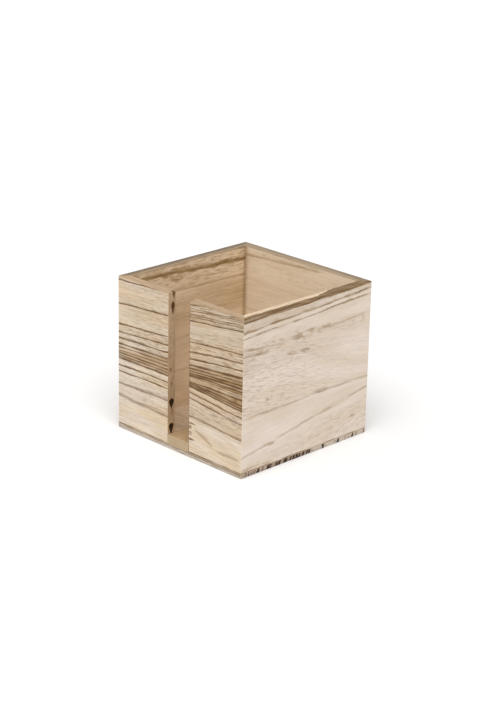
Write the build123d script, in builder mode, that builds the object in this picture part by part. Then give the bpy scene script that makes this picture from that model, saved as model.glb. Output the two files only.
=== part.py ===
from build123d import *
import os

# Open square napkin holder of thin, pale timber: four walls mitred into a frame, a base panel
# laid over the whole underside, and a finger slot down the middle of the front wall.
# Origin at the centre of the underside, +Z up. The slotted front wall faces -Y. Millimetres.

# Driving dimensions
outer_width = 145.0  # outside of the square, both ways
overall_height = 132.0
stock_thickness = 8.0  # planed board that the walls and the batten are cut from
base_thickness = 4.0
slot_width = 24.6
corner_round = 0.8  # upright corners, sanded once the frame is glued
rim_round = 0.6
foot_round = 0.5  # lower edge of the base
slot_round = 0.4  # edges of the slot and of the batten, sanded by hand
joint_bevel = 0.2  # hairline V all round where the walls stand on the base

# Sizes worked out from them
inner_width = outer_width - 2 * stock_thickness
wall_height = overall_height - base_thickness
slot_side = slot_width / 2
front_face = -outer_width / 2
batten_length = inner_width / 2 - front_face

# Planes: the top of the base, and the two diagonals that the mitres lie in
wall_seat = Plane.XY.offset(base_thickness)
rising_mitre = Plane(origin=(0, 0, 0), x_dir=(0, 0, 1), z_dir=(1, -1, 0))
falling_mitre = Plane(origin=(0, 0, 0), x_dir=(0, 0, 1), z_dir=(1, 1, 0))

os.makedirs("parts", exist_ok=True)


def save(piece, name):
    """Label a finished piece and write it under its own name."""
    piece.label = name
    export_step(piece, f"parts/{name}.step")


# Base panel: as wide as the frame outside, so its edge shows as a thin strip below the walls
with BuildPart() as base_panel:
    with BuildSketch():
        RectangleRounded(outer_width, outer_width, corner_round)
    extrude(amount=base_thickness)
    underside = base_panel.faces().sort_by(Axis.Z)[0]
    fillet(underside.edges(), radius=foot_round)
    upper_side = base_panel.faces().sort_by(Axis.Z)[-1]
    chamfer(upper_side.edges(), length=joint_bevel)
save(base_panel.part, "base_panel")


# The glued frame as one ring: its corners and rim are eased in one pass, so the rounding
# runs unbroken over the mitres. It is parted into boards below and isn't a piece itself.
with BuildPart() as wall_frame:
    with BuildSketch(wall_seat):
        RectangleRounded(outer_width, outer_width, corner_round)
        Rectangle(inner_width, inner_width, mode=Mode.SUBTRACT)
    extrude(amount=wall_height)
    rim = wall_frame.faces().sort_by(Axis.Z)[-1]
    fillet(rim.edges(), radius=rim_round)
    foot = wall_frame.faces().sort_by(Axis.Z)[0]
    chamfer(foot.outer_wire().edges(), length=joint_bevel)


def mitred_board(rising_side, falling_side):
    """The part of the frame between two mitres: one wall, on the stated side of each diagonal."""
    with BuildPart() as board:
        add(wall_frame.part)
        split(bisect_by=rising_mitre, keep=rising_side)
        split(bisect_by=falling_mitre, keep=falling_side)
    return board.part


# Plain walls, each one board from mitre to mitre
save(mitred_board(Keep.TOP, Keep.TOP), "right_wall")
save(mitred_board(Keep.BOTTOM, Keep.TOP), "back_wall")
save(mitred_board(Keep.BOTTOM, Keep.BOTTOM), "left_wall")


# Front wall: one plank sawn into two boards, with the finger slot left between them.
# The cut end of each board is eased on its front, top and back edges, not where it is glued.
with BuildPart() as front_left_board:
    add(mitred_board(Keep.TOP, Keep.BOTTOM))
    split(bisect_by=Plane.YZ.offset(-slot_side), keep=Keep.BOTTOM)
    cut_end = front_left_board.faces().sort_by(Axis.X)[-1]
    glued_edges = cut_end.edges().filter_by(lambda edge: edge.center().Z < base_thickness + 2 * joint_bevel)
    fillet(cut_end.edges() - glued_edges, radius=slot_round)
save(front_left_board.part, "front_left_board")

with BuildPart() as front_right_board:
    mirror(front_left_board.part, about=Plane.YZ)
save(front_right_board.part, "front_right_board")


# Cross batten: glued flat on the base from front to back, across the base's grain, so that the
# thin panel stays flat. Its front end fills the foot of the slot, flush with the front wall, and
# ties the two front boards together. Its front and long upper edges are eased, not the back one.
with BuildPart() as cross_batten:
    with BuildSketch(wall_seat):
        with Locations((0, (front_face + inner_width / 2) / 2)):
            Rectangle(slot_width, batten_length)
    extrude(amount=stock_thickness)
    batten_top = cross_batten.faces().sort_by(Axis.Z)[-1]
    fillet(batten_top.edges().sort_by(Axis.Y)[:-1], radius=slot_round)
    batten_end = cross_batten.faces().sort_by(Axis.Y)[0]
    chamfer(batten_end.edges().filter_by(Axis.X).sort_by(Axis.Z)[0], length=joint_bevel)
save(cross_batten.part, "cross_batten")
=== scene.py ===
"""Looks of an open napkin box made of pale boards with strong brown growth rings.

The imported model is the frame: four mitred walls on a thin base, a finger slot down the middle of
the front wall and a low batten that fills its foot. Each board keeps its place and gets a finish
of its own, drawn in the board's own directions: along its grain, across it and through it. The
board left of the slot is modelled anew, because its sawn end has two open knots.

Sizes are in millimetres where they describe the box, and are turned into metres as meshes are
made. Colours are written as the eye reads them on a screen, from 0 to 255.
"""

from __future__ import annotations

import logging
import math
from collections.abc import Callable, Iterable
from dataclasses import dataclass
from enum import Enum
from typing import ClassVar

import bmesh
import bpy
from mathutils import Matrix, Vector


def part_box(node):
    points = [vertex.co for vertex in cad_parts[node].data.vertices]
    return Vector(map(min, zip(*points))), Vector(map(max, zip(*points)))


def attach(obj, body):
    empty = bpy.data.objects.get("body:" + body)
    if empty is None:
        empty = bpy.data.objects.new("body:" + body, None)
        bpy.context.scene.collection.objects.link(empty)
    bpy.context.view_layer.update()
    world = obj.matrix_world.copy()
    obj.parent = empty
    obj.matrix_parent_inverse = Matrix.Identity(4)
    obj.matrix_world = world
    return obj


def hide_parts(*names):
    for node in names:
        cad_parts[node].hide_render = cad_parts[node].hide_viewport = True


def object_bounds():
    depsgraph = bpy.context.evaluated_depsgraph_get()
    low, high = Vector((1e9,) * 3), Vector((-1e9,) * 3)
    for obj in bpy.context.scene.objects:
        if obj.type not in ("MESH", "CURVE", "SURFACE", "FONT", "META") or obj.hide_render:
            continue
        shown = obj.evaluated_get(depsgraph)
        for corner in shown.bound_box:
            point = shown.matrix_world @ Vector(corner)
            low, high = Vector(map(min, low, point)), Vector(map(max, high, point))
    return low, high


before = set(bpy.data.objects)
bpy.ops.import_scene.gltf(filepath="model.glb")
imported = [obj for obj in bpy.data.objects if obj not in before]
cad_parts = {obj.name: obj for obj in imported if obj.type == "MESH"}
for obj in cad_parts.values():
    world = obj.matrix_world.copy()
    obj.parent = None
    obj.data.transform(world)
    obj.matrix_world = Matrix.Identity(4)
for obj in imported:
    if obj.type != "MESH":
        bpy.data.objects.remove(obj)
CAD_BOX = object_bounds()
MM = 0.001

log = logging.getLogger("napkin_box")

Socket = bpy.types.NodeSocket
Signal = Socket | float


# Colour and nodes


@dataclass(frozen=True)
class Tone:
    """A colour as it looks on a screen, each channel from 0 to 255."""

    red: float
    green: float
    blue: float

    def shade(self) -> tuple[float, float, float, float]:
        """The colour as shares of full, still as the eye reads it, for mixing as stains mix."""
        return self.red / 255, self.green / 255, self.blue / 255, 1.0


class NodeSheet:
    """One material's node tree, with short ways to add nodes and link them."""

    def __init__(self, tree: bpy.types.NodeTree) -> None:
        """Empties the tree.

        Args:
            tree: The node tree to build in.
        """
        self.tree = tree
        tree.nodes.clear()

    def add(self, kind: str, inputs: dict[int | str, Signal | tuple], **settings: object) -> bpy.types.Node:
        """Adds a node.

        Args:
            kind: The node's type name, without the leading "ShaderNode".
            inputs: Its inputs, by place or name, each with another node's output, a number or a colour.
            settings: Properties of the node and their values.

        Returns:
            The new node.
        """
        node = self.tree.nodes.new("ShaderNode" + kind)
        for name, value in settings.items():
            setattr(node, name, value)
        for place, value in inputs.items():
            if isinstance(value, bpy.types.NodeSocket):
                self.tree.links.new(value, node.inputs[place])
            else:
                node.inputs[place].default_value = value
        return node

    def math(self, operation: str, *values: Signal, clamp: bool = False) -> Socket:
        """One step of arithmetic.

        Args:
            operation: The Math node's operation, such as "ADD".
            values: Its operands in order.
            clamp: Whether the result is held between 0 and 1.

        Returns:
            The result.
        """
        inputs = dict(enumerate(values))
        return self.add("Math", inputs, operation=operation, use_clamp=clamp).outputs[0]

    def times(self, value: Signal, factor: Signal) -> Socket:
        """The product of two signals."""
        return self.math("MULTIPLY", value, factor)

    def less(self, value: Signal, amount: Signal) -> Socket:
        """What is left of a signal when another is taken away."""
        return self.math("SUBTRACT", value, amount)

    def most(self, first: Signal, second: Signal) -> Socket:
        """The greater of two signals."""
        return self.math("MAXIMUM", first, second)

    def line(self, value: Signal, slope: Signal, start: Signal) -> Socket:
        """A signal times a slope, added to a start."""
        return self.math("MULTIPLY_ADD", value, slope, start)

    def ramp(
        self, value: Signal, low: float, high: float, to_low: float = 0.0, to_high: float = 1.0
    ) -> Socket:
        """A smooth step, held outside its range.

        Args:
            value: The signal to step on.
            low: Where the step starts.
            high: Where it ends.
            to_low: The result at the start.
            to_high: The result at the end.

        Returns:
            The stepped signal.
        """
        inputs = dict(enumerate((value, low, high, to_low, to_high)))
        return self.add("MapRange", inputs, interpolation_type="SMOOTHSTEP", clamp=True).outputs[0]

    def vector(self, x: Signal, y: Signal, z: Signal) -> Socket:
        """Three signals as one vector."""
        return self.add("CombineXYZ", {0: x, 1: y, 2: z}).outputs[0]

    def noise(self, place: Socket, detail: float, roughness: float) -> Socket:
        """Smooth noise about one half, one wave per unit of the place vector.

        Args:
            place: Where the noise is read, already scaled.
            detail: How many finer layers are added.
            roughness: How strong the finer layers are.

        Returns:
            The noise, mostly from 0.2 to 0.8.
        """
        inputs = {"Vector": place, "Scale": 1.0, "Detail": detail, "Roughness": roughness}
        return self.add("TexNoise", inputs, noise_dimensions="3D").outputs[0]

    def blend(self, share: Signal, first: Signal | tuple, second: Signal | tuple) -> Socket:
        """Mixes two colours.

        Args:
            share: How much of the second colour shows, from 0 to 1.
            first: The colour at 0.
            second: The colour at 1.

        Returns:
            The mixed colour.
        """
        return self.add("Mix", {0: share, 6: first, 7: second}, data_type="RGBA").outputs[2]


# What can be drawn on a board


class Axis(Enum):
    """The box's axes, by their place in a vector."""

    X = 0
    Y = 1
    Z = 2


@dataclass(frozen=True)
class BoardFrame:
    """A board's own directions, in millimetres of the box's frame.

    Attributes:
        along: The axis that the grain follows.
        across: The axis across the grain on the show face.
        through: The axis through the board.
        low: Where the board starts along its grain.
        high: Where it ends.
        face: Where the show face lies on the through axis.
        inward: 1 where the board lies above the face on that axis, else -1.
        thickness: The board's thickness.
        top: Where the board ends across the grain.
    """

    along: Axis
    across: Axis
    through: Axis
    low: float
    high: float
    face: float
    inward: int
    thickness: float
    top: float


@dataclass(frozen=True)
class Ring:
    """The dark line of one growth ring on the show face, in millimetres.

    Attributes:
        start: Its height across the grain where the board starts.
        end: Its height where the board ends.
        width: How wide the line is.
        depth: How dark it is, from 0 to 1.
        lean: How far it climbs for each millimetre through the board.
        sag: How far its middle lies above the straight line between its ends.
        reach: The share of the board's length that it starts and ends at.
        firm: Above 1, the line has a flat dark core.
    """

    start: float
    end: float
    width: float = 1.0
    depth: float = 0.6
    lean: float = 0.5
    sag: float = 0.0
    reach: tuple[float, float] | None = None
    firm: float = 1.0


@dataclass(frozen=True)
class Band:
    """A wide, soft stretch of darker wood between two heights across the grain.

    Attributes:
        low: Its lower edge where the board starts and where it ends.
        high: Its upper edge at the same places.
        depth: How strong it is where the board starts and where it ends.
        soft: How far its edges fade.
        lean: How far it climbs for each millimetre through the board.
    """

    low: tuple[float, float]
    high: tuple[float, float]
    depth: tuple[float, float]
    soft: float = 2.0
    lean: float = 0.5


@dataclass(frozen=True)
class Smudge:
    """A small dark patch, drawn out along the grain.

    Attributes:
        along: Its middle along the grain.
        across: Its middle across the grain.
        length: Half its length.
        height: Half its height.
        depth: How dark it is.
    """

    along: float
    across: float
    length: float
    height: float
    depth: float


@dataclass(frozen=True)
class RimStreak:
    """A darker streak along a wall's rim, measured through the board from its show face.

    Attributes:
        near: Its nearer edge where the board starts and where it ends.
        far: Its farther edge at the same places.
        depth: How strong it is.
    """

    near: tuple[float, float]
    far: tuple[float, float]
    depth: float


@dataclass(frozen=True)
class EndMark:
    """A dark mark on the sawn end of a board, round above and drawn to a point below.

    Attributes:
        through: Its middle, measured through the board from its show face.
        across: Its middle across the grain.
        width: Half its width.
        rise: How far it reaches above its middle.
        tail: How far it reaches below.
        depth: How dark it is.
    """

    through: float
    across: float
    width: float
    rise: float
    tail: float
    depth: float


@dataclass(frozen=True)
class WoodTones:
    """The colours of one board.

    Attributes:
        pale: The lightest wood.
        warm: The wood between, in soft patches.
        band: The brown of its wide bands.
        line: The brown of its ring lines.
        end: The wood on its sawn ends.
        rim: The wood on its rim.
        rim_dark: The streaks on its rim.
    """

    pale: Tone
    warm: Tone
    band: Tone
    line: Tone
    end: Tone
    rim: Tone
    rim_dark: Tone


@dataclass(frozen=True)
class Fan:
    """How the fine grain opens out over a board's height, so that it follows the ring lines.

    Attributes:
        turns: Heights, from the lowest, each with how far the grain climbs there over the board.
    """

    turns: tuple[tuple[float, float], ...]


@dataclass(frozen=True)
class WoodFinish:
    """Everything that one board's finish is drawn from.

    Attributes:
        name: The material's name.
        board: The board's directions.
        tones: Its colours.
        fan: The run of its fine grain.
        rings: Its ring lines.
        bands: Its wide brown bands.
        busy: Where short flecks crowd, as bands.
        smudges: Small dark patches.
        rim_streaks: Streaks along its rim.
        end_marks: Marks on its sawn end beside the slot.
        end_shades: Darker stretches of its sawn ends.
        end_at: Where along the grain that end lies.
        seed: Tells its noise from the other boards'.
        waver: How much its grain wavers.
        fibre: How strong its finest grain is.
        flecks: How strong its flecks are.
        end_rings: How much the ring lines show on its sawn ends.
        face_rings: How much they show on its faces.
        steady: How much of a ring line is left where it fades.
        slot_edge: How much darker its edge beside the slot is drawn.
        seam: The height of the joint line, a dark joint drawn with painted shade where the wall meets the
            base, or None.
    """

    name: str
    board: BoardFrame
    tones: WoodTones
    fan: Fan
    rings: tuple[Ring, ...] = ()
    bands: tuple[Band, ...] = ()
    busy: tuple[Band, ...] = ()
    smudges: tuple[Smudge, ...] = ()
    rim_streaks: tuple[RimStreak, ...] = ()
    end_marks: tuple[EndMark, ...] = ()
    end_shades: tuple[Band, ...] = ()
    end_at: float = 0.0
    seed: float = 0.0
    waver: float = 0.8
    fibre: float = 0.16
    flecks: float = 0.3
    end_rings: float = 0.35
    face_rings: float = 1.0
    steady: float = 0.75
    slot_edge: float = 0.0
    seam: float | None = None


# The finish


@dataclass(frozen=True)
class Layer:
    """One layer of smooth noise on a board.

    Attributes:
        along: Waves per millimetre along the grain.
        across: Waves per millimetre across it.
        through: Waves per millimetre through the board.
        seed: Moves the pattern.
        detail: How many finer layers are added.
        roughness: How strong the finer layers are.
    """

    along: float
    across: float
    through: float
    seed: float
    detail: float = 2.0
    roughness: float = 0.5


class WoodPainter:
    """Builds the procedural material of one board.

    Its numbers and layers of noise are named after what they set. Lengths are in millimetres. A
    pair says where something begins and where it is full, or where it is full and where it ends.

    Attributes:
        ROUGHNESS: How rough the wood is where its fibre is low and where it is high.
        RELIEF: How deep its grain is, in metres.
        FACING: How squarely a face looks along an axis, as the cosine of the angle between them.
        RIM_SOFT: How far below a wall's top its rim begins.
        SHARP: How steeply a ring line ends below.
        FADING: How steeply it fades above.
        RUN_OUT: Half the share of the board's length over which a line stops.
        RAGGED: How far a rim streak's edges wander.
        CROWDING: How much a wide band crowds the flecks.
        END_REACH: How far the marks of a sawn end reach into the board.
        SEED_STEP: How far one board's noise lies from the next board's.
        SEED_TURN: How much of that step is taken across and through the board.
        WAVES: The noises that the grain wavers with, each with how far it moves it.
    """

    ROUGHNESS = (0.55, 0.71)
    SPECULAR = 0.2
    RELIEF = 0.00009
    BUMP = 0.6
    FACING = (0.72, 0.92)
    RIM_SOFT = (1.0, 0.5)
    SHARP = 1.3
    FADING = 0.8
    RUN_OUT = 0.05
    RAGGED = 2.4
    STREAK_SOFT = 0.4
    CROWDING = 0.45
    END_REACH = (3.0, 3.3)
    SEAM = (0.5, 1.4)
    SLOT_DARKENING = (0.4, 1.1)
    GLUE_AND_SHADE = 0.5
    GLUE_AND_SHADE_REACH = (-1.5, 4.5)
    DARKEST = Tone(52, 34, 20)
    SCREEN_GAMMA = 2.2
    SEED_STEP = 7.31
    SEED_TURN = (0.37, 0.61)
    WAVES = (
        (3.2, Layer(0.022, 0.045, 0.05, 1.7, 1.0)),
        (1.5, Layer(0.11, 0.22, 0.2, 5.2)),
        (0.9, Layer(0.34, 0.5, 0.5, 2.6, 1.0)),
    )
    SWELLS = Layer(0.06, 0.3, 0.3, 7.7)
    PATCHES = Layer(0.015, 0.06, 0.06, 9.1, 3.0)
    DENSE = Layer(0.012, 0.55, 0.55, 6.4, 2.0, 0.6)
    FLECKS = Layer(0.12, 1.0, 1.0, 4.1, 2.0, 0.6)
    BREAKS = Layer(0.07, 0.2, 0.2, 8.8)
    RIM_EDGES = Layer(0.12, 0.3, 0.7, 3.9)
    RIM_THREADS = Layer(0.07, 0.3, 1.4, 2.2)
    END_PORES = Layer(0.3, 1.5, 1.5, 0.9, 1.0)
    END_CLOUDS = Layer(0.05, 0.12, 0.2, 3.1)
    END_RAGGED = Layer(0.5, 0.25, 1.3, 5.5)
    BLOTCHES = Layer(0.05, 0.1, 0.1, 6.9)
    FIBRE = Layer(0.035, 0.9, 0.9, 3.3, 3.0, 0.62)
    PORES = Layer(0.16, 2.3, 2.3, 4.9, 1.0)

    def __init__(self, finish: WoodFinish) -> None:
        """Makes the material and reads the place on the board.

        Args:
            finish: What to draw.
        """
        self.finish = finish
        self.material = bpy.data.materials.new(finish.name)
        self.material.use_nodes = True
        self.sheet = NodeSheet(self.material.node_tree)
        self._read_place()
        self._bend_grain()

    def _read_place(self) -> None:
        """Sets up the place on the board: along, across and through, in millimetres."""
        sheet, board = self.sheet, self.finish.board
        source = sheet.add("TexCoord", {})
        split = sheet.add("SeparateXYZ", {0: source.outputs["Object"]})
        axes = [sheet.times(output, 1 / MM) for output in split.outputs]
        self.along = axes[board.along.value]
        self.height = axes[board.across.value]
        self.through = sheet.line(axes[board.through.value], board.inward, -board.face * board.inward)
        length = board.high - board.low
        self.share = sheet.line(self.along, 1 / length, -board.low / length)
        facing = sheet.add("SeparateXYZ", {0: source.outputs["Normal"]})
        self.end_face = self._square_to(facing.outputs[board.along.value])
        if board.across is Axis.Z:
            low, high = (board.top - edge for edge in self.RIM_SOFT)
            self.rim_face = sheet.ramp(self.height, low, high)
        else:
            self.rim_face = self._square_to(facing.outputs[board.across.value])

    def _square_to(self, facing: Socket) -> Socket:
        """Where the surface is square to an axis, from its normal's part along that axis."""
        return self.sheet.ramp(self.sheet.math("ABSOLUTE", facing), *self.FACING)

    def _noise(self, layer: Layer) -> Socket:
        """Draws a layer of noise in the board's directions.

        Args:
            layer: The layer.

        Returns:
            The noise.
        """
        sheet = self.sheet
        shift = self.finish.seed * self.SEED_STEP + layer.seed
        across, through = self.SEED_TURN
        place = sheet.vector(
            sheet.line(self.along, layer.along, shift),
            sheet.line(self.level, layer.across, shift * across),
            sheet.line(self.through, layer.through, shift * through),
        )
        return sheet.noise(place, layer.detail, layer.roughness)

    def _bend_grain(self) -> None:
        """Makes the ring height, which wavers along the board, and the level that the noise follows."""
        sheet, waver = self.sheet, self.finish.waver
        self.level = self.height
        bent: Signal = self.height
        for reach, layer in self.WAVES:
            bent = sheet.line(self._noise(layer), reach * waver, bent)
        middle = sum(reach for reach, _ in self.WAVES) / 2
        self.wavy = sheet.less(bent, middle * waver)
        turns = self.finish.fan.turns
        climb: Signal = turns[0][1]
        for (low, before), (high, after) in zip(turns, turns[1:]):
            climb = sheet.math("ADD", sheet.ramp(self.wavy, low, high, 0.0, after - before), climb)
        self.level = sheet.less(self.wavy, sheet.times(climb, self.share))
        self.swell = sheet.ramp(self._noise(self.SWELLS), 0.3, 0.7, 0.65, 1.5)

    def _slide(self, ends: tuple[float, float]) -> Socket:
        """A number that changes evenly along the board, from its values at the two ends."""
        return self.sheet.line(self.share, ends[1] - ends[0], ends[0])

    def _between(self, level: Signal, low: Signal, high: Signal, soft: float) -> Socket:
        """Where a level lies between two others.

        Args:
            level: The level.
            low: The lower limit.
            high: The upper limit.
            soft: How far each limit fades, to either side.

        Returns:
            1 between the limits, 0 outside them.
        """
        sheet = self.sheet
        above = sheet.ramp(sheet.less(level, low), -soft, soft)
        below = sheet.ramp(sheet.less(high, level), -soft, soft)
        return sheet.times(above, below)

    def _ring(self, ring: Ring) -> Socket:
        """Draws one ring line.

        Args:
            ring: The line.

        Returns:
            How dark it is at this place.
        """
        sheet = self.sheet
        centre = self._slide((ring.start, ring.end))
        if ring.sag:
            arch = sheet.times(self.share, sheet.less(1.0, self.share))
            centre = sheet.line(arch, 4 * ring.sag, centre)
        centre = sheet.line(self.through, ring.lean, centre)
        off = sheet.times(sheet.less(self.wavy, centre), self.swell)
        below = sheet.line(off, self.SHARP / ring.width, ring.firm)
        above = sheet.line(off, -self.FADING / ring.width, ring.firm)
        mark = sheet.math("MINIMUM", below, above, clamp=True)
        if not ring.reach:
            return sheet.times(mark, ring.depth)
        first, last = ring.reach
        fade_in = sheet.ramp(self.share, first - self.RUN_OUT, first + self.RUN_OUT)
        fade_out = sheet.ramp(self.share, last - self.RUN_OUT, last + self.RUN_OUT, 1.0, 0.0)
        return sheet.times(mark, sheet.times(sheet.times(fade_in, fade_out), ring.depth))

    def _band(self, band: Band) -> Socket:
        """Draws one wide band.

        Args:
            band: The band.

        Returns:
            How strong it is at this place.
        """
        level = self.sheet.line(self.through, -band.lean, self.wavy)
        inside = self._between(level, self._slide(band.low), self._slide(band.high), band.soft / 2)
        return self.sheet.times(inside, self._slide(band.depth))

    def _smudge(self, smudge: Smudge) -> Socket:
        """Draws one small patch.

        Args:
            smudge: The patch.

        Returns:
            How dark it is at this place.
        """
        sheet = self.sheet
        along = sheet.line(self.along, 1 / smudge.length, -smudge.along / smudge.length)
        across = sheet.line(self.wavy, 1 / smudge.height, -smudge.across / smudge.height)
        reach = sheet.math("ADD", sheet.times(along, along), sheet.times(across, across))
        return sheet.times(sheet.ramp(reach, 0.1, 1.2, 1.0, 0.0), smudge.depth)

    def _rim_streak(self, streak: RimStreak) -> Socket:
        """Draws one streak of the rim.

        Args:
            streak: The streak.

        Returns:
            How strong it is at this place.
        """
        sheet = self.sheet
        depth = sheet.line(self.rim_edges, self.RAGGED, sheet.less(self.through, self.RAGGED / 2))
        near, far = self._slide(streak.near), self._slide(streak.far)
        return sheet.times(self._between(depth, near, far, self.STREAK_SOFT), streak.depth)

    def _end_mark(self, mark: EndMark) -> Socket:
        """Draws one mark of the sawn end.

        Args:
            mark: The mark.

        Returns:
            How dark it is at this place.
        """
        sheet = self.sheet
        aside = sheet.math("ABSOLUTE", sheet.less(self.through, mark.through))
        side = sheet.math("DIVIDE", aside, mark.width)
        over = sheet.less(self.height, mark.across)
        upper = sheet.most(sheet.math("DIVIDE", over, mark.rise), 0.0)
        lower = sheet.most(sheet.math("DIVIDE", over, -mark.tail), 0.0)
        round_part = sheet.math("ADD", sheet.times(side, side), sheet.times(upper, upper))
        reach = sheet.math("ADD", sheet.math("SQRT", round_part), lower)
        return sheet.times(sheet.ramp(reach, 0.85, 1.6, 1.0, 0.0), mark.depth)

    def _strongest(self, draw: Callable[..., Socket], marks: Iterable, under: Signal = 0.0) -> Signal:
        """Draws several marks, the strongest on top.

        Args:
            draw: Draws one of them.
            marks: What to draw.
            under: What is drawn already.

        Returns:
            The strength of all of them together.
        """
        for mark in marks:
            under = self.sheet.most(under, draw(mark))
        return under

    def _tint(self, wood: Signal | tuple, share: Signal, tone: Tone) -> Socket:
        """The wood with a share of a tone mixed in."""
        return self.sheet.blend(share, wood, tone.shade())

    def _figure(self) -> None:
        """Draws the board's own figure, each part as a strength: bands, stains, flecks and lines."""
        finish = self.finish
        self.bands = self._strongest(self._band, finish.bands)
        self.stain = self._strongest(self._smudge, finish.smudges)
        crowd = self._strongest(self._band, finish.busy, self.sheet.times(self.bands, self.CROWDING))
        self.crowd = self.sheet.most(crowd, self.stain)
        self.lines = self._strongest(self._ring, finish.rings)

    def _face_colour(self) -> Socket:
        """The colour of the board's faces, from the figure and the fine grain."""
        sheet, finish, tones = self.sheet, self.finish, self.finish.tones
        full = finish.face_rings
        wood = self._tint(tones.pale.shade(), sheet.ramp(self._noise(self.PATCHES), 0.36, 0.64), tones.warm)
        dense = sheet.ramp(self._noise(self.DENSE), 0.40, 0.60, 0.5 * full, full)
        wood = self._tint(wood, sheet.times(self.bands, dense), tones.band)

        flecks = self._noise(self.FLECKS)
        cloud = sheet.times(self.stain, sheet.ramp(flecks, 0.3, 0.62, 0.0, 0.3))
        wood = self._tint(wood, cloud, tones.line)
        crowded = sheet.line(self.crowd, 0.15, flecks)
        fleck = sheet.times(sheet.ramp(crowded, 0.60, 0.69), sheet.ramp(self.crowd, 0.0, 0.6, 0.3, 1.0))
        wood = self._tint(wood, sheet.times(fleck, finish.flecks), tones.line)
        shine = sheet.times(sheet.ramp(flecks, 0.44, 0.34), self.crowd)
        wood = self._tint(wood, sheet.times(shine, finish.flecks * 0.7), tones.pale)

        kept = sheet.ramp(self._noise(self.BREAKS), 0.3, 0.6, finish.steady * full, full)
        self.kept = sheet.times(self.lines, kept)
        return self._tint(wood, self.kept, tones.line)

    def _rim_colour(self) -> Socket:
        """The colour of the board's rim."""
        sheet, tones = self.sheet, self.finish.tones
        self.rim_edges = self._noise(self.RIM_EDGES)
        streaks = self._strongest(self._rim_streak, self.finish.rim_streaks)
        threads = self._noise(self.RIM_THREADS)
        streaks = sheet.times(streaks, sheet.ramp(threads, 0.34, 0.56, 0.64, 1.0))
        streaks = sheet.most(streaks, sheet.ramp(threads, 0.53, 0.66, 0.0, 0.5))
        return self._tint(tones.rim.shade(), streaks, tones.rim_dark)

    def _end_colour(self) -> Socket:
        """The colour of the board's sawn ends, with its pores."""
        sheet, finish, tones = self.sheet, self.finish, self.finish.tones
        shade = sheet.times(self.lines, finish.end_rings)
        shade = sheet.most(shade, sheet.ramp(self._noise(self.END_PORES), 0.55, 0.75, 0.0, 0.3))
        shade = sheet.most(shade, sheet.ramp(self._noise(self.END_CLOUDS), 0.5, 0.7, 0.0, 0.18))
        shade = self._strongest(self._band, finish.end_shades, shade)
        wood = self._tint(tones.end.shade(), sheet.times(self.bands, finish.end_rings), tones.band)
        return self._tint(wood, shade, tones.line)

    def _mark_end(self, wood: Socket) -> Socket:
        """Adds the dark marks beside the slot.

        Args:
            wood: The colour so far.

        Returns:
            The colour with the marks.
        """
        sheet, finish = self.sheet, self.finish
        if not finish.end_marks:
            return wood
        marks = self._strongest(self._end_mark, finish.end_marks)
        gap = sheet.math("ABSOLUTE", sheet.less(self.along, finish.end_at))
        marks = sheet.times(marks, sheet.ramp(gap, *self.END_REACH, 1.0, 0.0))
        ragged = sheet.ramp(self._noise(self.END_RAGGED), 0.3, 0.6, 0.55, 1.0)
        marks = sheet.times(marks, sheet.most(ragged, sheet.ramp(marks, 0.6, 0.8)))
        fringe = self._tint(wood, sheet.ramp(marks, 0.0, 0.6), finish.tones.line)
        return self._tint(fringe, sheet.ramp(marks, 0.5, 0.95), self.DARKEST)

    def _joints(self, wood: Socket) -> Socket:
        """Draws the dark joint at a wall's foot with painted shade, the darker edge beside the slot, and the
        glue line with painted corner shade inside.

        Args:
            wood: The colour so far.

        Returns:
            The colour with the lines.
        """
        sheet, finish, board = self.sheet, self.finish, self.finish.board
        if finish.seam is None:
            return wood
        line = finish.tones.line
        blotches = self._noise(self.BLOTCHES)
        # The dark line at the wall's foot is a joint with painted shade, where the wall meets the base.
        off = sheet.math("ABSOLUTE", sheet.less(self.height, finish.seam))
        seam = sheet.times(sheet.ramp(off, *self.SEAM, 1.0, 0.0), sheet.ramp(blotches, 0.35, 0.6, 0.25, 0.85))
        wood = self._tint(wood, sheet.times(seam, sheet.ramp(self.through, 1.0, 2.0, 1.0, 0.0)), line)
        if finish.slot_edge:
            # Draws the board darker along its edge beside the slot.
            gap = sheet.math("ABSOLUTE", sheet.less(self.along, finish.end_at))
            edge_darkening = sheet.ramp(gap, *self.SLOT_DARKENING, finish.slot_edge, 0.0)
            wood = self._tint(wood, sheet.times(edge_darkening, sheet.ramp(blotches, 0.35, 0.6, 0.5, 1.0)), line)
        # A glue line in the inner corner, widened into painted shade that fades over a few millimetres.
        corner = -board.face * board.inward - board.thickness
        gap = sheet.math("ABSOLUTE", sheet.less(sheet.math("ABSOLUTE", self.along), corner))
        inside = sheet.ramp(self.through, board.thickness - 0.8, board.thickness - 0.3)
        return self._tint(wood, sheet.times(sheet.ramp(gap, *self.GLUE_AND_SHADE_REACH, self.GLUE_AND_SHADE, 0.0), inside), line)

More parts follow.
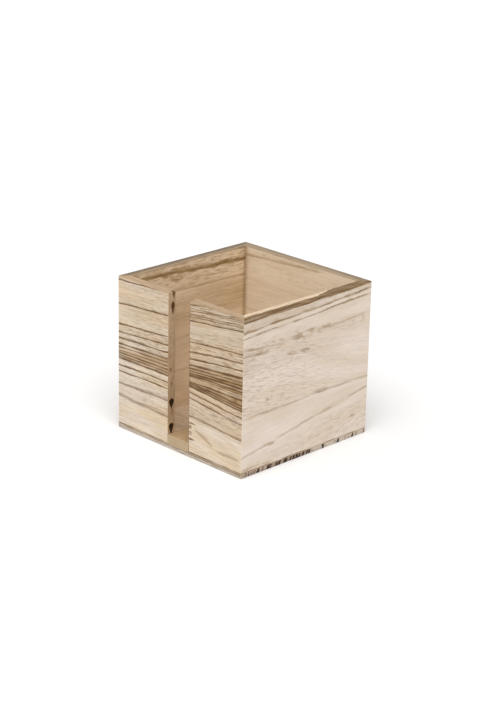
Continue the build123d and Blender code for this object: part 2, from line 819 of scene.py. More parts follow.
    def _surface(self, wood: Socket) -> None:
        """Adds the finest grain and its relief, and links the shader.

        Args:
            wood: The colour of the wood, as the eye reads it.
        """
        sheet, strength = self.sheet, self.finish.fibre
        fibre = self._noise(self.FIBRE)
        pores = sheet.ramp(self._noise(self.PORES), 0.58, 0.70)
        grain = sheet.ramp(fibre, 0.25, 0.75, 1 - strength, 1 + strength * 0.8)
        grain = sheet.times(grain, sheet.line(pores, -0.8 * strength, 1.0))
        light = sheet.add("Gamma", {"Color": wood, "Gamma": self.SCREEN_GAMMA})
        lit = sheet.add("VectorMath", {0: light.outputs[0], "Scale": grain}, operation="SCALE")
        relief = sheet.less(sheet.times(fibre, 0.6), sheet.times(pores, 0.5))
        relief = sheet.line(self.kept, -0.5, relief)
        bump = sheet.add("Bump", {"Strength": self.BUMP, "Distance": self.RELIEF, "Height": relief})
        inputs = {
            "Base Color": lit.outputs[0],
            "Roughness": sheet.ramp(fibre, 0.2, 0.8, *self.ROUGHNESS),
            "Specular IOR Level": self.SPECULAR,
            "Normal": bump.outputs[0],
        }
        shader = sheet.add("BsdfPrincipled", inputs)
        sheet.add("OutputMaterial", {"Surface": shader.outputs[0]})

    def paint(self) -> bpy.types.Material:
        """Draws the whole finish.

        Returns:
            The material.
        """
        self._figure()
        wood = self._joints(self._face_colour())
        wood = self.sheet.blend(self.rim_face, wood, self._rim_colour())
        wood = self.sheet.blend(self.end_face, wood, self._end_colour())
        self._surface(self._mark_end(wood))
        return self.material


def dress(piece: bpy.types.Object, finish: WoodFinish) -> None:
    """Gives a piece its finish.

    Args:
        piece: A board of the frame, or a new piece.
        finish: The finish to draw on it.
    """
    material = WoodPainter(finish).paint()
    piece.data.materials.clear()
    piece.data.materials.append(material)
    log.info("%s dressed as %s", piece.name, finish.name)


# Sizes and directions


@dataclass(frozen=True)
class BoxSizes:
    """Sizes of the box, read from the frame, in millimetres.

    Attributes:
        half: Half its width outside.
        top: The height of its rim.
        seat: The height that the walls stand at.
        stock: The thickness of its walls.
        slot_side: Half the slot's width.
    """

    half: float
    top: float
    seat: float
    stock: float
    slot_side: float

    @staticmethod
    def read() -> BoxSizes:
        """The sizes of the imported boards."""
        base_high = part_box("base_panel")[1]
        batten_low, batten_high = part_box("cross_batten")
        return BoxSizes(
            half=round(base_high.x / MM, 3),
            top=round(CAD_BOX[1].z / MM, 3),
            seat=round(base_high.z / MM, 3),
            stock=round((batten_high.z - batten_low.z) / MM, 3),
            slot_side=round(batten_high.x / MM, 3),
        )


def wall_frame(sizes: BoxSizes, along: Axis, side: int, low: float, high: float) -> BoardFrame:
    """The directions of one wall, whose grain runs level.

    Args:
        sizes: The box's sizes.
        along: The axis that the wall follows.
        side: 1 where it stands on the high side of the box, else -1.
        low: Where it starts along its grain.
        high: Where it ends.

    Returns:
        The wall's frame.
    """
    through = Axis.Y if along is Axis.X else Axis.X
    face = side * sizes.half
    return BoardFrame(along, Axis.Z, through, low, high, face, -side, sizes.stock, sizes.top)


# Modelling by hand


class Bench:
    """Short ways to the modelling operators. Sizes and places are in millimetres.

    Attributes:
        SNAP: How near to a cut a point counts as lying on it, in metres.
    """

    SNAP = 1e-7

    @staticmethod
    def clear() -> None:
        """Deselects everything."""
        bpy.ops.object.select_all(action="DESELECT")

    @staticmethod
    def take(piece: bpy.types.Object) -> None:
        """Makes a piece active and alone in the selection."""
        Bench.clear()
        piece.select_set(True)
        bpy.context.view_layer.objects.active = piece

    @staticmethod
    def block(name: str, low: Vector, high: Vector) -> bpy.types.Object:
        """Adds a block between two corners, with its place in its mesh.

        Args:
            name: The piece's name.
            low: Its lowest corner.
            high: Its highest corner.

        Returns:
            The block, active and alone in the selection.
        """
        Bench.clear()
        centre, size = (low + high) / 2, high - low
        bpy.ops.mesh.primitive_cube_add(size=1, location=centre * MM, scale=size * MM)
        bpy.ops.object.transform_apply(location=True, rotation=True, scale=True)
        piece = bpy.context.object
        piece.name = name
        return piece

    @staticmethod
    def _seen(element: bmesh.types.BMVert | bmesh.types.BMEdge | bmesh.types.BMFace) -> list[Vector]:
        """A point's place, an edge's two ends or a face's normal."""
        if isinstance(element, bmesh.types.BMVert):
            return [element.co / MM]
        if isinstance(element, bmesh.types.BMEdge):
            return [vertex.co / MM for vertex in element.verts]
        return [element.normal]

    @staticmethod
    def pick(piece: bpy.types.Object, kind: str, wanted: Callable[..., bool]) -> None:
        """Selects points, edges or faces of the piece being edited.

        Args:
            piece: The piece, in edit mode.
            kind: "VERT", "EDGE" or "FACE".
            wanted: Says whether one is selected, from its place, its two ends or its normal.
        """
        bpy.ops.mesh.select_mode(type=kind)
        bpy.ops.mesh.select_all(action="DESELECT")
        mesh = bmesh.from_edit_mesh(piece.data)
        for element in {"VERT": mesh.verts, "EDGE": mesh.edges, "FACE": mesh.faces}[kind]:
            element.select_set(wanted(*Bench._seen(element)))
        mesh.select_flush_mode()
        bmesh.update_edit_mesh(piece.data)

    @staticmethod
    def ease(radius: float, segments: int) -> None:
        """Rounds the selected edges.

        Args:
            radius: The rounding's radius.
            segments: Its number of facets.
        """
        bpy.ops.mesh.bevel(
            offset_type="OFFSET", offset=radius * MM, segments=segments, profile=0.5, affect="EDGES"
        )

    @staticmethod
    def saw(place: Vector, away: Vector) -> None:
        """Cuts the piece being edited with a plane and closes the cut.

        Args:
            place: A point of the plane.
            away: The direction, square to the plane, of what is cut off.
        """
        bpy.ops.mesh.select_all(action="SELECT")
        bpy.ops.mesh.bisect(
            plane_co=place * MM, plane_no=away, use_fill=True, clear_outer=True, threshold=Bench.SNAP
        )

    @staticmethod
    def cut(piece: bpy.types.Object, tool: bpy.types.Object) -> None:
        """Cuts one piece out of another and deletes the tool.

        Args:
            piece: The piece that is cut.
            tool: The closed shape that is taken away.
        """
        Bench.take(piece)
        cutter = piece.modifiers.new("cut", "BOOLEAN")
        cutter.operation, cutter.solver, cutter.object = "DIFFERENCE", "EXACT", tool
        bpy.ops.object.modifier_apply(modifier=cutter.name)
        bpy.data.objects.remove(tool, do_unlink=True)


@dataclass(frozen=True)
class KnotHole:
    """An open knot in the sawn end of a board: a small pit drawn to a point below.

    Attributes:
        through: Its middle, measured through the board from its show face.
        height: The height of its middle.
        width: Half its width.
        rise: Half its height.
        tail: How far its point reaches below its middle.
        depth: How deep it is.
        TAPER: How much each pull below its middle narrows it.
        PULLS: Where the pulls that draw it to a point begin, as shares of its rise.
        PROUD: How far its middle stands out of the sawn face, so that no point lies on that face.
    """

    through: float
    height: float
    width: float
    rise: float
    tail: float
    depth: float
    TAPER: ClassVar[float] = 0.72
    PULLS: ClassVar[tuple[float, ...]] = (0.3, 0.6, 0.9)
    PROUD: ClassVar[float] = 0.05

    def cutter(self, end: float, face: float) -> bpy.types.Object:
        """Models the shape of the pit.

        Args:
            end: Where the sawn end lies on X.
            face: Where the show face lies on Y, before the board.

        Returns:
            The shape, as a piece to cut with.
        """
        Bench.clear()
        centre = Vector((end + self.PROUD, face + self.through, self.height))
        size = Vector((self.depth, self.width, self.rise))
        bpy.ops.mesh.primitive_uv_sphere_add(
            segments=20, ring_count=12, radius=1, location=centre * MM, scale=size * MM
        )
        bpy.ops.object.transform_apply(location=True, rotation=True, scale=True)
        pit = bpy.context.object
        bpy.ops.object.mode_set(mode="EDIT")
        pull = (self.tail - self.rise) / len(self.PULLS)
        for share in self.PULLS:
            limit = self.height - share * self.rise
            Bench.pick(pit, "VERT", lambda point, limit=limit: point.z < limit)
            bpy.ops.transform.translate(value=(0, 0, -pull * MM))
            bpy.ops.transform.resize(value=(1, self.TAPER, 1), center_override=centre * MM)
        bpy.ops.object.mode_set(mode="OBJECT")
        return pit


# The boards


@dataclass
class FrontWall:
    """The front wall: one plank sawn into two boards, with the finger slot between them.

    Attributes:
        sizes: The box's sizes.
        corner_round: The radius of the box's upright corners.
        rim_round: The radius along the rim.
        slot_round: The radius along the slot.
        joint_bevel: The chamfer where the board stands on the base.
        knots: The open knots in the left board's sawn end.
        NEAR: How near a point has to lie to count as in place.
        FACETS: The facets of the roundings along corner, rim and slot.
        FOOT_TURNS: Degrees round the corner from the front where the chamfer at the foot is sawn.
        SMOOTH: The angle, in degrees, under which facets are shaded as one rounding.
        FLAT: How squarely a face looks along an axis where it is shaded flat.
        FRINGE: How far a knot's dark fringe reaches, in its half widths and heights, and in its tails.
    """

    sizes: BoxSizes
    corner_round: float = 0.8
    rim_round: float = 0.6
    slot_round: float = 0.4
    joint_bevel: float = 0.2
    NEAR: ClassVar[float] = 0.01
    FACETS: ClassVar[tuple[int, int, int]] = (5, 4, 3)
    FOOT_TURNS: ClassVar[tuple[float, ...]] = (0, 9, 27, 45)
    SMOOTH: ClassVar[float] = 35.0
    FLAT: ClassVar[float] = 0.9999
    FRINGE: ClassVar[tuple[float, float]] = (1.1, 1.5)
    knots: tuple[KnotHole, ...] = (
        KnotHole(4.0, 17.8, 1.8, 2.1, 4.0, 0.9),
        KnotHole(4.1, 38.8, 1.9, 2.3, 3.2, 0.9),
    )

    @staticmethod
    def tones() -> WoodTones:
        """The plank's colours."""
        return WoodTones(
            pale=Tone(222, 207, 190),
            warm=Tone(216, 195, 167),
            band=Tone(153, 120, 80),
            line=Tone(90, 63, 38),
            end=Tone(190, 162, 130),
            rim=Tone(180, 155, 126),
            rim_dark=Tone(142, 114, 84),
        )

    def model_left_board(self) -> bpy.types.Object:
        """Models the left board: eased along rim, corner and slot, mitred, with two open knots.

        It is cut from a blank that is too long at the slot and at the foot. The blank is eased
        before each end is sawn off, so that no rounding ends at a short edge.

        Returns:
            The board.
        """
        sizes = self.sizes
        outer, end = -sizes.half, -sizes.slot_side
        spare = sizes.stock
        low = Vector((outer, outer, sizes.seat - spare))
        high = Vector((end + spare, outer + sizes.stock, sizes.top))
        corner_facets, rim_facets, slot_facets = self.FACETS

        def all_at(place: float, *parts: float) -> bool:
            """Whether all of some coordinates are at one place."""
            return all(abs(part - place) < self.NEAR for part in parts)

        def upright_corner(first: Vector, last: Vector) -> bool:
            """Whether an edge is the box's upright corner."""
            return all_at(outer, first.x, last.x, first.y, last.y)

        def rim_edge(first: Vector, last: Vector) -> bool:
            """Whether an edge runs along the rim, apart from the blank's far end."""
            return all_at(high.z, first.z, last.z) and min(first.x, last.x) < high.x - self.NEAR

        def slot_edge(first: Vector, last: Vector) -> bool:
            """Whether an edge runs round the slot's side, apart from its foot."""
            return all_at(end, first.x, last.x) and max(first.z, last.z) > sizes.seat

        board = Bench.block("front_left_plank", low, high)
        bpy.ops.object.mode_set(mode="EDIT")
        Bench.pick(board, "EDGE", upright_corner)
        Bench.ease(self.corner_round, corner_facets)
        Bench.pick(board, "EDGE", rim_edge)
        Bench.ease(self.rim_round, rim_facets)
        Bench.saw(Vector((end, 0, 0)), Vector((1, 0, 0)))
        Bench.pick(board, "EDGE", slot_edge)
        Bench.ease(self.slot_round, slot_facets)
        Bench.saw(Vector((0, 0, 0)), Vector((-1, 1, 0)))
        Bench.saw(Vector((0, 0, sizes.seat)), Vector((0, 0, -1)))
        middle = outer + self.corner_round
        for turn in self.FOOT_TURNS:
            outward = Vector((-math.sin(math.radians(turn)), -math.cos(math.radians(turn)), 0))
            edge = Vector((middle, middle, sizes.seat + self.joint_bevel)) + outward * self.corner_round
            Bench.saw(edge, outward - Vector((0, 0, 1)))
        bpy.ops.object.mode_set(mode="OBJECT")
        for knot in self.knots:
            Bench.cut(board, knot.cutter(end, outer))
        Bench.take(board)
        bpy.ops.object.shade_smooth_by_angle(angle=math.radians(self.SMOOTH))
        bpy.ops.object.mode_set(mode="EDIT")
        Bench.pick(board, "FACE", lambda normal: max(abs(part) for part in normal) > self.FLAT)
        bpy.ops.mesh.faces_shade_flat()
        bpy.ops.object.mode_set(mode="OBJECT")
        return board

    def left_finish(self) -> WoodFinish:
        """The finish of the board left of the slot."""
        end = -self.sizes.slot_side
        board = wall_frame(self.sizes, Axis.X, -1, -self.sizes.half, end)
        rings = (
            Ring(129.0, 132.6, 1.1, 0.95, lean=0.2), Ring(109.3, 113.0, 0.95, 0.95),
            Ring(91.3, 95.2, 0.9, 0.9), Ring(84.3, 87.8, 0.85, 0.95), Ring(79.0, 81.8, 0.9, 1.0),
            Ring(73.8, 76.6, 1.2, 1.0), Ring(71.0, 73.6, 0.9, 0.9), Ring(68.4, 70.6, 0.8, 0.7),
            Ring(66.4, 67.8, 1.2, 0.9), Ring(64.4, 65.2, 0.8, 0.8), Ring(62.0, 62.6, 1.3, 1.0),
            Ring(55.8, 57.0, 0.95, 1.0), Ring(50.3, 51.3, 0.85, 0.95), Ring(39.8, 41.0, 1.6, 0.6),
            Ring(29.2, 27.0, 2.2, 0.5),
        )
        bands = (
            Band((61.5, 62.0), (72.5, 76.5), (0.32, 0.74), 2.0),
            Band((76.0, 77.0), (92.0, 95.0), (0.16, 0.3), 5.0),
            Band((95.0, 97.0), (140.0, 140.0), (0.1, 0.2), 8.0),
            Band((30.0, 30.0), (62.0, 62.0), (0.04, 0.16), 8.0),
        )
        busy = (
            Band((30.0, 30.0), (61.0, 61.0), (0.2, 0.4), 4.0),
            Band((77.0, 78.0), (94.0, 96.0), (0.45, 0.75), 3.0),
            Band((94.0, 97.0), (131.0, 131.0), (0.15, 0.45), 4.0),
        )
        rim_streaks = (
            RimStreak((1.0, 1.2), (3.4, 3.8), 0.3), RimStreak((6.8, 6.6), (9.0, 9.0), 0.35),
        )
        foot_shade = Band((22.0, 22.0), (54.0, 54.0), (0.16, 0.16), 12.0, lean=0.0)
        wider, longer = self.FRINGE
        marks = tuple(
            EndMark(knot.through, knot.height, wider * knot.width, wider * knot.rise, longer * knot.tail, 1.0)
            for knot in self.knots
        )
        marks += (
            EndMark(5.9, 130.0, 1.2, 2.6, 3.6, 0.62), EndMark(5.0, 119.5, 1.6, 3.6, 5.6, 0.66),
            EndMark(3.0, 66.5, 1.0, 1.6, 1.6, 0.3), EndMark(4.0, 54.0, 0.9, 2.2, 2.2, 0.32),
            EndMark(4.8, 30.0, 0.5, 3.0, 3.0, 0.35),
        )
        return WoodFinish(
            "front_left_wood", board, self.tones(), Fan(((40, 0.0), (85, 3.6))), rings, bands, busy,
            rim_streaks=rim_streaks, end_marks=marks, end_shades=(foot_shade,), end_at=end, seed=1.0,
            waver=0.6, end_rings=0.12, seam=self.sizes.seat,
        )

    def right_finish(self) -> WoodFinish:
        """The finish of the board right of the slot."""
        board = wall_frame(self.sizes, Axis.X, -1, self.sizes.slot_side, self.sizes.half)
        rings = (
            Ring(128.6, 135.0, 0.6, 0.6, sag=0.9), Ring(126.2, 132.4, 0.5, 0.7, sag=-0.7),
            Ring(123.8, 129.8, 0.6, 0.65, sag=0.7), Ring(121.4, 127.2, 0.5, 0.7, sag=-0.6),
            Ring(119.0, 124.6, 0.6, 0.6, sag=0.5), Ring(116.0, 121.6, 0.95, 1.0),
            Ring(98.0, 103.6, 0.85, 1.0), Ring(90.0, 96.0, 0.8, 1.0), Ring(84.0, 90.0, 0.8, 1.0),
            Ring(79.0, 84.2, 1.4, 1.0), Ring(76.2, 80.8, 0.8, 0.95), Ring(74.0, 78.0, 1.05, 1.0),
            Ring(72.2, 75.4, 1.0, 1.0), Ring(70.4, 72.7, 1.1, 1.0), Ring(69.2, 70.6, 0.6, 0.8),
            Ring(67.6, 68.6, 0.6, 0.6, reach=(0.4, 1.1)), Ring(64.8, 65.8, 1.0, 1.0),
            Ring(63.6, 61.2, 1.1, 1.0), Ring(62.3, 58.8, 1.0, 1.0), Ring(61.1, 56.6, 1.1, 1.0),
            Ring(56.2, 51.0, 0.95, 1.0), Ring(51.0, 45.5, 0.85, 0.95), Ring(36.0, 32.0, 1.4, 0.65),
            Ring(30.0, 27.0, 1.1, 0.7, reach=(0.0, 0.12)), Ring(28.5, 4.0, 2.2, 0.34, reach=(0.14, 0.44)),
            Ring(12.6, 15.2, 1.8, 0.34, reach=(0.56, 0.95)), Ring(16.5, 16.0, 1.0, 0.8, reach=(0.0, 0.1)),
        )
        bands = (
            Band((117.0, 122.0), (140.0, 144.0), (0.42, 0.42), 3.0),
            Band((69.2, 70.4), (79.5, 85.0), (0.92, 0.92), 2.0),
            Band((60.5, 56.0), (66.2, 67.4), (1.0, 0.85), 1.6),
            Band((60.5, 56.0), (79.5, 85.0), (0.5, 0.55), 2.0),
            Band((79.0, 84.0), (116.0, 122.0), (0.34, 0.38), 5.0),
            Band((34.0, 30.0), (60.0, 56.0), (0.26, 0.26), 6.0),
        )
        busy = (
            Band((40.0, 36.0), (60.0, 56.0), (0.5, 0.5), 4.0),
            Band((82.0, 86.0), (104.0, 108.0), (0.55, 0.55), 4.0),
            Band((104.0, 108.0), (116.0, 121.0), (0.3, 0.3), 4.0),
            Band((116.0, 121.0), (136.0, 140.0), (0.75, 0.75), 3.0),
        )
        smudges = (
            Smudge(14.0, 37.0, 6.0, 3.0, 1.0), Smudge(14.0, 27.0, 3.0, 2.0, 0.9),
            Smudge(14.0, 21.5, 3.5, 2.0, 1.0), Smudge(14.0, 16.5, 5.0, 1.5, 1.0),
        )
        rim_streaks = (
            RimStreak((-1.0, -1.0), (2.4, 2.4), 0.35), RimStreak((7.0, 6.8), (9.0, 9.0), 0.3),
        )
        return WoodFinish(
            "front_right_wood", board, self.tones(), Fan(((60, -5.5), (72, 5.8))), rings, bands, busy,
            smudges, rim_streaks, end_at=self.sizes.slot_side, seed=2.0, waver=0.6, slot_edge=0.6,
            seam=self.sizes.seat,
        )

    def build(self) -> None:
        """Models the left board, and dresses both."""
        board = self.model_left_board()
        dress(board, self.left_finish())
        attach(board, "root")
        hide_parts("front_left_board")
        dress(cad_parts["front_right_board"], self.right_finish())


@dataclass
class PlainWalls:
    """The right, back and left walls, each one board from mitre to mitre.

    Attributes:
        sizes: The box's sizes.
        SAWN: The colour of their sawn ends, hidden in the mitres.
    """

    sizes: BoxSizes
    SAWN: ClassVar[Tone] = Tone(186, 158, 128)

    def _frame(self, along: Axis, side: int) -> BoardFrame:
        """The directions of a wall that runs from mitre to mitre."""
        return wall_frame(self.sizes, along, side, -self.sizes.half, self.sizes.half)

    def right_finish(self) -> WoodFinish:
        """The finish of the right wall: pale and faintly figured, with a brown upper edge."""
        tones = WoodTones(
            pale=Tone(227, 212, 199),
            warm=Tone(220, 203, 184),
            band=Tone(118, 90, 58),
            line=Tone(134, 107, 74),
            end=self.SAWN,
            rim=Tone(214, 192, 164),
            rim_dark=Tone(112, 88, 61),
        )
        rings = (
            Ring(120.0, 127.0, 1.3, 1.0, sag=-0.3), Ring(115.0, 122.0, 1.1, 0.9, sag=0.4),
            Ring(106.0, 92.0, 1.2, 0.5, reach=(0.0, 0.3)), Ring(100.5, 97.5, 1.2, 0.6, reach=(0.0, 0.16)),
            Ring(99.0, 107.0, 1.4, 0.3, reach=(0.42, 0.95)), Ring(49.0, 50.6, 1.6, 0.42, sag=0.8),
            Ring(16.5, 41.0, 1.6, 0.4, sag=1.0), Ring(5.6, 10.0, 1.2, 0.5, reach=(0.0, 0.22)),
        )
        bands = (
            Band((127.4, 130.6), (140.0, 140.0), (1.0, 1.0), 1.2, lean=0.9),
            Band((120.0, 127.0), (128.0, 131.6), (0.14, 0.14), 2.0),
            Band((84.0, 84.0), (108.0, 108.0), (0.1, 0.02), 10.0),
        )
        busy = (
            Band((120.0, 127.0), (128.0, 131.6), (0.4, 0.4), 3.0),
            Band((96.0, 99.0), (109.0, 109.0), (0.6, 0.4), 4.0),
            Band((50.0, 52.0), (98.0, 98.0), (0.66, 0.1), 6.0),
            Band((0.0, 8.0), (14.0, 34.0), (0.3, 0.5), 5.0),
        )
        smudges = (
            Smudge(-12, 104, 10, 3.4, 1.0), Smudge(-52, 100.5, 10, 2.6, 0.9),
            Smudge(-33, 101.5, 5, 2.4, 0.9), Smudge(3, 106.5, 9, 2.6, 1.0), Smudge(20, 106, 7, 2.6, 1.0),
            Smudge(-18, 91.5, 8, 2.0, 0.9), Smudge(-4, 91.5, 7, 2.0, 0.9), Smudge(16, 52.0, 10, 2.4, 0.9),
            Smudge(-45, 59.5, 2.5, 2.0, 1.0), Smudge(-42, 21.8, 9, 2.0, 0.9),
            Smudge(56, 19.5, 5, 2.2, 0.7),
        )
        rim_streaks = (
            RimStreak((-2.0, -2.0), (2.6, 2.8), 1.0), RimStreak((-2.0, -2.0), (-17.0, 17.0), 0.95),
        )
        fan = Fan(((38, 22.0), (56, -22.0), (102, -16.0), (113, 7.0)))
        return WoodFinish(
            "right_wood", self._frame(Axis.Y, 1), tones, fan, rings, bands, busy, smudges, rim_streaks,
            seed=3.0, waver=0.9, fibre=0.08, flecks=0.24, steady=0.2, seam=self.sizes.seat,
        )

    def left_finish(self) -> WoodFinish:
        """The finish of the left wall, whose inner face shows over the front wall."""
        tones = WoodTones(
            pale=Tone(227, 203, 172),
            warm=Tone(217, 191, 158),
            band=Tone(132, 98, 56),
            line=Tone(118, 88, 46),
            end=self.SAWN,
            rim=Tone(158, 136, 111),
            rim_dark=Tone(106, 93, 77),
        )
        rings = (
            Ring(121.5, 116.0, 2.8, 0.9, lean=0.6), Ring(106.0, 102.0, 1.8, 0.36),
            Ring(60.0, 64.0, 1.4, 0.25), Ring(36.0, 30.0, 1.4, 0.2),
        )
        bands = (Band((74.0, 74.0), (100.0, 100.0), (0.3, 0.3), 12.0),)
        busy = (Band((106.0, 106.0), (140.0, 140.0), (0.6, 0.55), 12.0),)
        smudges = (
            Smudge(-44, 129.0, 9, 2.0, 0.7), Smudge(-30, 122.0, 9, 2.4, 0.9),
            Smudge(-16, 119.0, 12, 2.6, 0.9), Smudge(36, 116.0, 10, 2.4, 0.8),
            Smudge(46, 118.6, 9, 2.2, 0.7),
        )
        rim_streaks = (
            RimStreak((-2.0, -2.0), (1.6, 1.6), 1.0), RimStreak((-2.0, -2.0), (5.8, 5.8), 0.72),
        )
        return WoodFinish(
            "left_wood", self._frame(Axis.Y, -1), tones, Fan(((0, -4.0),)), rings, bands, busy, smudges,
            rim_streaks, seed=4.0, fibre=0.1, flecks=0.36, seam=self.sizes.seat,
        )

    def back_finish(self) -> WoodFinish:
        """The finish of the back wall, plain and pale inside."""
        tones = WoodTones(
            pale=Tone(232, 213, 187),
            warm=Tone(226, 204, 175),
            band=Tone(150, 128, 104),
            line=Tone(146, 116, 80),
            end=self.SAWN,
            rim=Tone(166, 146, 121),
            rim_dark=Tone(114, 99, 80),
        )
        rings = (
            Ring(120.0, 127.0, 1.8, 0.5, reach=(-0.2, 0.66)), Ring(100.0, 98.0, 1.4, 0.12),
            Ring(72.0, 76.0, 1.4, 0.2), Ring(44.0, 50.0, 1.4, 0.2), Ring(20.0, 18.0, 1.4, 0.2),
        )
        busy = (Band((108.0, 108.0), (140.0, 140.0), (0.4, 0.1), 12.0),)
        rim_streaks = (
            RimStreak((-2.0, -2.0), (1.4, 1.4), 0.8), RimStreak((-2.0, -2.0), (6.2, 6.2), 0.38),
            RimStreak((-2.0, -2.0), (-10.0, 8.0), 0.6),
        )
        return WoodFinish(
            "back_wood", self._frame(Axis.X, 1), tones, Fan(((30, 4.0), (90, 6.0))), rings, busy=busy,
            rim_streaks=rim_streaks, seed=5.0, fibre=0.08, seam=self.sizes.seat,
        )

    def build(self) -> None:
        """Dresses the three walls."""
        dress(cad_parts["right_wall"], self.right_finish())
        dress(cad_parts["left_wall"], self.left_finish())
        dress(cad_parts["back_wall"], self.back_finish())


@dataclass
class Bottom:
    """The base panel, with its grain along X, and the batten that lies across it.

    Attributes:
        sizes: The box's sizes.
    """

    sizes: BoxSizes

    def base_finish(self) -> WoodFinish:
        """The finish of the base, whose dark rings show as blocks in its sawn right edge."""
        half = self.sizes.half
        tones = WoodTones(
            pale=Tone(212, 189, 162),
            warm=Tone(204, 180, 152),
            band=Tone(134, 112, 92),
            line=Tone(58, 42, 32),
            end=Tone(204, 190, 174),
            rim=Tone(194, 181, 166),
            rim_dark=Tone(128, 110, 90),
        )
        blocks = (
            (-68.0, 1.6, 0.4), (-64.5, 1.6, 0.5), (-61.0, 1.6, 0.35), (-58.0, 1.4, 0.5), (-54.0, 3.0, 0.9),
            (-49.0, 1.6, 0.5), (-42.8, 3.6, 0.9), (-39.8, 1.4, 0.8), (-33.6, 2.4, 0.8), (-30.4, 2.4, 0.9),
            (-24.0, 4.6, 0.9), (-17.4, 2.6, 0.85), (-14.0, 2.8, 0.9), (-10.4, 3.2, 0.9), (-7.0, 2.0, 0.85),
            (-3.0, 2.6, 0.95), (1.4, 2.0, 1.0), (4.2, 1.8, 1.0), (20.4, 2.6, 1.0), (38.6, 2.6, 0.9),
            (47.0, 1.4, 0.3), (55.6, 2.4, 0.8), (60.0, 1.4, 0.4), (69.5, 1.6, 0.5),
        )
        rings = tuple(Ring(y, y, width / 5, depth, lean=0.25, firm=3.0) for y, width, depth in blocks)
        bands = (
            Band((-90.0, -90.0), (-42.0, -42.0), (0.4, 0.4), 10.0),
            Band((-46.0, -46.0), (6.0, 6.0), (0.62, 0.62), 6.0),
        )
        # The second streak is painted shade along the base's lower edge, where it stands on the floor.
        rim_streaks = (
            RimStreak((3.2, 1.9), (6.0, 6.0), 0.7), RimStreak((-2.0, -2.0), (0.2, 0.6), 0.3),
        )
        board = BoardFrame(Axis.X, Axis.Y, Axis.Z, -half, half, 0.0, 1, self.sizes.seat, half)
        return WoodFinish(
            "base_wood", board, tones, Fan(((0, 0.0),)), rings, bands, rim_streaks=rim_streaks, seed=6.0,
            waver=0.2, fibre=0.12, end_rings=1.0, face_rings=0.06,
        )

    def batten_finish(self) -> WoodFinish:
        """The finish of the batten, whose plain sawn end shows in the foot of the slot."""
        tones = WoodTones(
            pale=Tone(172, 144, 111),
            warm=Tone(164, 137, 104),
            band=Tone(132, 104, 76),
            line=Tone(140, 112, 78),
            end=Tone(184, 163, 132),
            rim=Tone(180, 151, 118),
            rim_dark=Tone(140, 112, 78),
        )
        half, seat, stock = self.sizes.half, self.sizes.seat, self.sizes.stock
        side = self.sizes.slot_side
        board = BoardFrame(Axis.Y, Axis.X, Axis.Z, -half, half - stock, seat, 1, stock, side)
        rings = (Ring(-9.0, -6.0, 1.0, 0.4), Ring(-1.0, 1.5, 1.0, 0.35), Ring(7.5, 9.0, 1.0, 0.4))
        return WoodFinish(
            "batten_wood", board, tones, Fan(((-20, 2.0), (20, 3.0))), rings, seed=7.0, waver=0.4,
            fibre=0.08, end_rings=0.08,
        )

    def build(self) -> None:
        """Dresses the base and the batten."""
        dress(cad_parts["base_panel"], self.base_finish())
        dress(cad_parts["cross_batten"], self.batten_finish())


# Studio


@dataclass(frozen=True)
class Lamp:
    """A broad, soft lamp far away.

    Attributes:
        name: Its name.
        azimuth: Degrees round from -Y towards +X.
        elevation: Degrees above the floor.
        spread: How wide it looks, in degrees.
        strength: Its strength.
    """

    name: str
    azimuth: float
    elevation: float
    spread: float
    strength: float


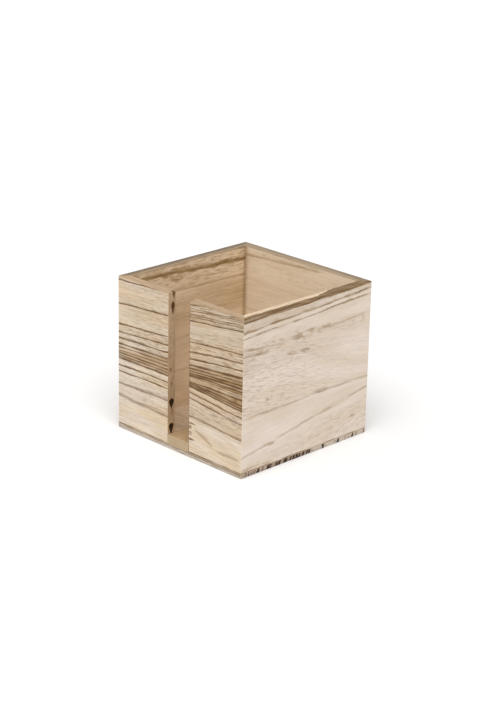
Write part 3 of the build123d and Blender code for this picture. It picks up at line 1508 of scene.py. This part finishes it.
@dataclass
class Studio:
    """Camera, floor and light.

    The camera's place was fitted to the corners of the box in the photograph, whose frame is
    480 by 720 pixels.

    Attributes:
        azimuth: Where the camera stands, in degrees round from -Y towards +X.
        elevation: Its degrees above the floor.
        distance: How far it stands from the point it is aimed at.
        roll: The degrees that it is turned about its own line of sight.
        aim_side: How far that point lies to the right of the box's axis.
        aim_height: Its height.
        focal_pixels: The focal length in pixels of the photograph.
        frame_height: The photograph's height in pixels.
        film: The sensor's size.
        clip: The nearest and the farthest that the camera sees, in metres.
        floor_size: The floor's size in metres.
        sky: The strength of the even light.
        backdrop: The strength of the background that the camera sees.
        lamps: The lamps.
        floor_seen: How light the floor is to the camera.
        floor_bounce: How light it is to the box.
    """

    azimuth: float = 45.123
    elevation: float = 20.321
    distance: float = 1534.98
    roll: float = 1.2035
    aim_side: float = -2.715
    aim_height: float = 61.44
    focal_pixels: float = 1871.62
    frame_height: float = 720.0
    film: float = 36.0
    clip: tuple[float, float] = (0.05, 50.0)
    floor_size: float = 16.0
    sky: float = 0.55
    backdrop: float = 1.0
    lamps: tuple[Lamp, ...] = (
        Lamp("main_lamp", 46.0, 55.0, 60.0, 2.32),
        Lamp("side_lamp", -38.0, 48.0, 50.0, 0.45),
    )
    floor_seen: float = 0.85
    floor_bounce: float = 0.65

    @staticmethod
    def _towards(azimuth: float, elevation: float) -> Vector:
        """The unit vector from the box to a viewer.

        Args:
            azimuth: Degrees round from -Y towards +X.
            elevation: Degrees above the floor.

        Returns:
            The direction.
        """
        a, e = math.radians(azimuth), math.radians(elevation)
        return Vector((math.sin(a) * math.cos(e), -math.cos(a) * math.cos(e), math.sin(e)))

    def camera(self) -> None:
        """Makes the camera at the photograph's place and angle."""
        back = self._towards(self.azimuth, self.elevation)
        turn = math.radians(self.azimuth)
        aim = Vector((math.cos(turn) * self.aim_side, math.sin(turn) * self.aim_side, self.aim_height))
        right = Vector((0, 0, 1)).cross(back).normalized()
        up = back.cross(right)
        tilt = math.radians(self.roll)
        across = right * math.cos(tilt) + up * math.sin(tilt)
        upward = up * math.cos(tilt) - right * math.sin(tilt)
        data = bpy.data.cameras.new("photo_camera")
        data.lens = self.focal_pixels * self.film / self.frame_height
        data.sensor_width = self.film
        data.clip_start, data.clip_end = self.clip
        camera = bpy.data.objects.new("photo_camera", data)
        bpy.context.scene.collection.objects.link(camera)
        place = Matrix((across, upward, back)).transposed().to_4x4()
        place.translation = (aim + back * self.distance) * MM
        camera.matrix_world = place
        bpy.context.scene.camera = camera

    def floor(self) -> None:
        """Makes the floor: white to the camera, with the box's soft shadow kept."""
        Bench.clear()
        bpy.ops.mesh.primitive_plane_add(size=self.floor_size, location=(0, 0, 0))
        floor = bpy.context.object
        floor.name = "floor"
        material = bpy.data.materials.new("floor_paper")
        material.use_nodes = True
        sheet = NodeSheet(material.node_tree)
        rays = sheet.add("LightPath", {})
        bounce, seen = ((shade, shade, shade, 1.0) for shade in (self.floor_bounce, self.floor_seen))
        paper = sheet.add("BsdfDiffuse", {"Color": sheet.blend(rays.outputs["Is Camera Ray"], bounce, seen)})
        sheet.add("OutputMaterial", {"Surface": paper.outputs[0]})
        floor.data.materials.append(material)

    def light(self) -> None:
        """Makes the even light all round and the broad, soft lamps."""
        world = bpy.data.worlds.new("studio")
        bpy.context.scene.world = world
        world.use_nodes = True
        sheet = NodeSheet(world.node_tree)
        rays = sheet.add("LightPath", {})
        even, backdrop = (
            sheet.add("Background", {"Color": (1.0, 1.0, 1.0, 1.0), "Strength": strength}).outputs[0]
            for strength in (self.sky, self.backdrop)
        )
        mix = sheet.add("MixShader", {0: rays.outputs["Is Camera Ray"], 1: even, 2: backdrop})
        sheet.add("OutputWorld", {"Surface": mix.outputs[0]})

        for lamp in self.lamps:
            data = bpy.data.lights.new(lamp.name, "SUN")
            data.energy = lamp.strength
            data.angle = math.radians(lamp.spread)
            light = bpy.data.objects.new(lamp.name, data)
            bpy.context.scene.collection.objects.link(light)
            direction = self._towards(lamp.azimuth, lamp.elevation)
            light.rotation_euler = direction.to_track_quat("Z", "Y").to_euler()

    def build(self) -> None:
        """Sets up the whole studio."""
        self.camera()
        self.floor()
        self.light()
        bpy.context.scene.view_settings.view_transform = "Standard"


def main() -> None:
    """Builds the studio and dresses the box, in order."""
    logging.basicConfig(level=logging.INFO, format="%(name)s: %(message)s")
    sizes = BoxSizes.read()
    log.info("box half %.1f, top %.1f mm", sizes.half, sizes.top)
    Studio().build()
    for part in (Bottom(sizes), PlainWalls(sizes), FrontWall(sizes)):
        part.build()
        log.info("%s done", type(part).__name__)


if __name__ == "__main__":
    main()
